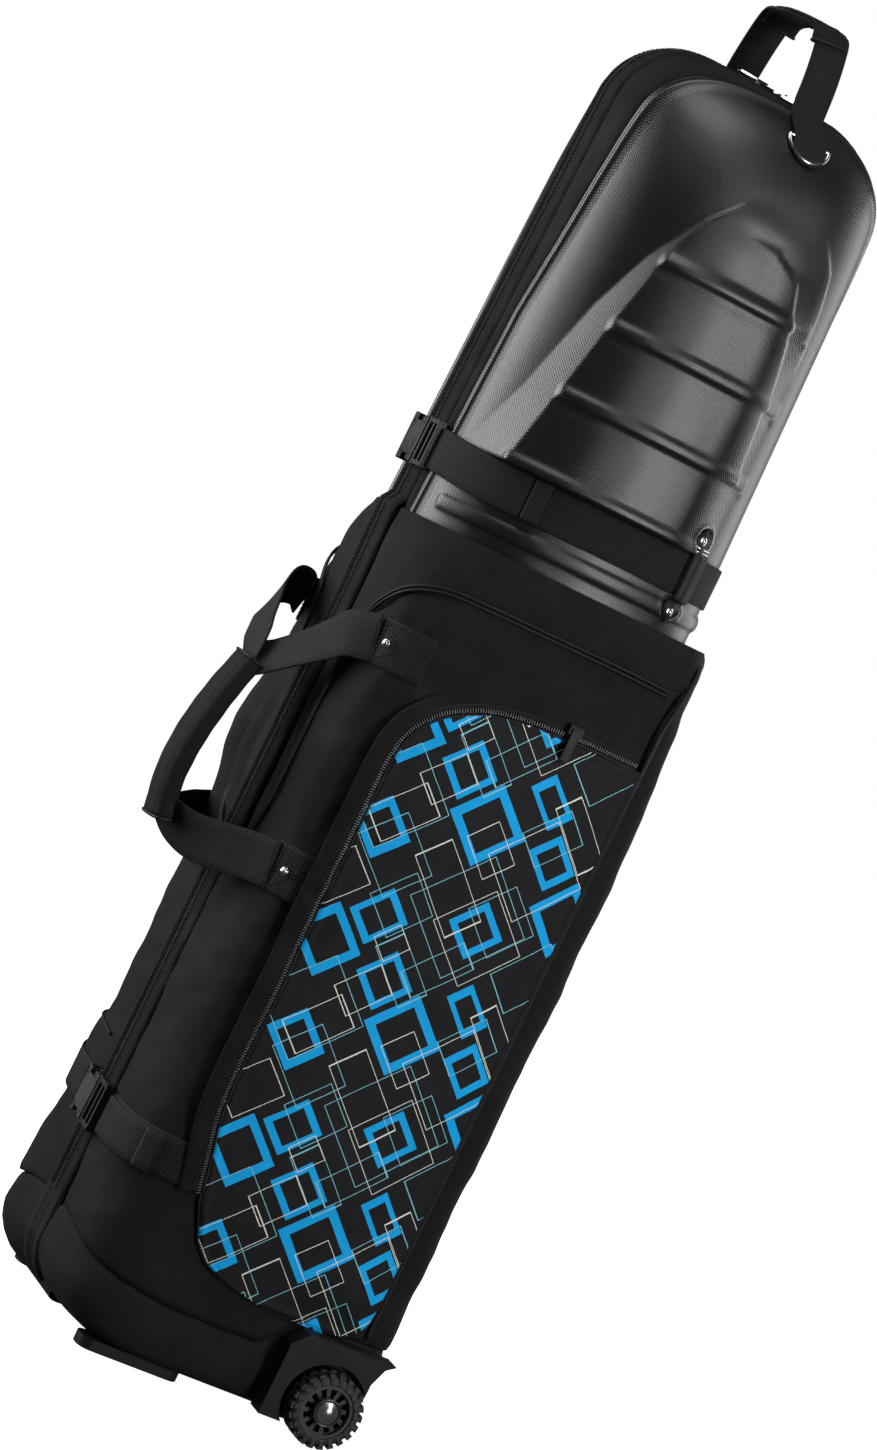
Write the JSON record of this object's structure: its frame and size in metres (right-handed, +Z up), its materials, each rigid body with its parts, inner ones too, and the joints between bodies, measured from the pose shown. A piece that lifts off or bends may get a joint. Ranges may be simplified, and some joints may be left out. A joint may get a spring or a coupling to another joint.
{
  "type": "golf travel case",
  "caption": "Tall wheeled golf travel case with a moulded clamshell top, padded fabric body, printed side pocket, straps and handles.",
  "frame": {"origin": "on the floor under the middle of the overall box", "axes": "+Z up, -Y towards the zipper and carry handle, +Y towards the wheels, +X the side with the printed pocket"},
  "size_m": [0.366, 0.392, 1.3481],
  "materials": {
    "padded_fabric": "matte woven polyester, padded",
    "moulded_shell": "satin fabric-laminated EVA with a fine diamond grain",
    "webbing": "ribbed polyester webbing",
    "zipper_tape": "coil zipper on woven tape",
    "piping": "soft vinyl piping",
    "printed_fabric": "printed mesh weave, blue squares with thin pale outlines on black",
    "black_plastic": "moulded nylon, lightly grained",
    "grey_plastic": "moulded acetal, satin",
    "chrome": "bright nickel plate",
    "wheel_rubber": "moulded rubber tread",
    "wheel_plastic": "moulded nylon",
    "axle_steel": "plated steel",
    "foam_lining": "lining cloth over foam"
  },
  "bodies": {
    "root": {"base_tub": "padded_fabric", "base_board": "black_plastic", "foot_near": "black_plastic", "foot_far": "black_plastic", "wheel_housing_near": "black_plastic", "wheel_housing_far": "black_plastic", "axle_near": "axle_steel", "axle_far": "axle_steel", "far_side_panel": "padded_fabric", "far_shell": "moulded_shell", "zipper_tape_far": "zipper_tape", "corner_piping_far": "piping", "upper_strap_far": "webbing", "upper_buckle_socket": "black_plastic", "strap_keeper_far": "webbing", "rivets_far": "chrome", "lower_strap_far": "webbing", "lower_buckle_socket": "grey_plastic", "carry_loop_far": "webbing", "handle_patches_far": "webbing", "grab_handle_far": "webbing", "foam_pad_far": "foam_lining", "inner_straps": "webbing"},
    "near_half": {"near_side_panel": "padded_fabric", "near_shell": "moulded_shell", "zipper_tape_near": "zipper_tape", "corner_piping_near": "piping", "panel_piping": "piping", "pocket_cover": "printed_fabric", "pocket_zip_band": "zipper_tape", "upper_strap_near": "webbing", "upper_strap_tail": "webbing", "upper_buckle_plug": "black_plastic", "strap_keeper_near": "webbing", "rivets_near": "chrome", "lower_strap_near": "webbing", "lower_strap_tail": "webbing", "lower_buckle_plug": "black_plastic", "carry_loop_near": "webbing", "handle_grip": "padded_fabric", "handle_patches_near": "webbing", "grab_handle_near": "webbing", "foam_pad_near": "foam_lining"},
    "wheel_near": {"bush_near": "wheel_plastic", "hub_near": "wheel_plastic", "tyre_near": "wheel_rubber", "hub_cap_near": "chrome"},
    "wheel_far": {"bush_far": "wheel_plastic", "hub_far": "wheel_plastic", "tyre_far": "wheel_rubber", "hub_cap_far": "chrome"},
    "slider_front": {"main_slider_front": "chrome"},
    "pull_front": {"main_pull_front": "chrome"},
    "slider_back": {"main_slider_back": "chrome"},
    "pull_back": {"main_pull_back": "chrome"},
    "pocket_runner": {"pocket_slider": "chrome"},
    "pocket_tab": {"pocket_pull": "chrome"},
    "ring_near": {"d_ring_near": "chrome"},
    "ring_far": {"d_ring_far": "chrome"}
  },
  "joints": [
    {"name": "case_open", "type": "hinge", "parent": "root", "child": "near_half", "pos_m": [0, 0.2005, 0], "axis": [0, 0, 1], "range_deg": [0, 75]},
    {"name": "wheel_near_spin", "type": "hinge", "parent": "root", "child": "wheel_near", "pos_m": [0.165, 0.1485, 0.035], "axis": [1, 0, 0], "continuous": true},
    {"name": "wheel_far_spin", "type": "hinge", "parent": "root", "child": "wheel_far", "pos_m": [-0.165, 0.1485, 0.035], "axis": [1, 0, 0], "continuous": true},
    {"name": "front_slider_run", "type": "slide", "parent": "root", "child": "slider_front", "axis": [0, -1, 0], "range_m": [0, 0.044]},
    {"name": "front_pull_flip", "type": "hinge", "parent": "slider_front", "child": "pull_front", "pos_m": [0, 0.0435, 1.2789], "axis": [-1, 0, 0], "range_deg": [0, 160]},
    {"name": "back_slider_run", "type": "slide", "parent": "root", "child": "slider_back", "axis": [0, 1, 0], "range_m": [0, 0.044]},
    {"name": "back_pull_flip", "type": "hinge", "parent": "slider_back", "child": "pull_back", "pos_m": [0, 0.0675, 1.2789], "axis": [1, 0, 0], "range_deg": [0, 160]},
    {"name": "pocket_slider_run", "type": "slide", "parent": "near_half", "child": "pocket_runner", "axis": [0, 1, 0], "range_m": [-0.015, 0.06]},
    {"name": "pocket_pull_swing", "type": "hinge", "parent": "pocket_runner", "child": "pocket_tab", "pos_m": [0.1536, 0.0895, 0.675], "axis": [0, -1, 0], "range_deg": [0, 120]},
    {"name": "near_ring_swing", "type": "hinge", "parent": "near_half", "child": "ring_near", "pos_m": [0.097, 0.0675, 1.2373], "axis": [0, -1, 0], "range_deg": [0, 120]},
    {"name": "far_ring_swing", "type": "hinge", "parent": "root", "child": "ring_far", "pos_m": [-0.097, 0.0415, 1.2373], "axis": [0, 1, 0], "range_deg": [0, 120]}
  ]
}
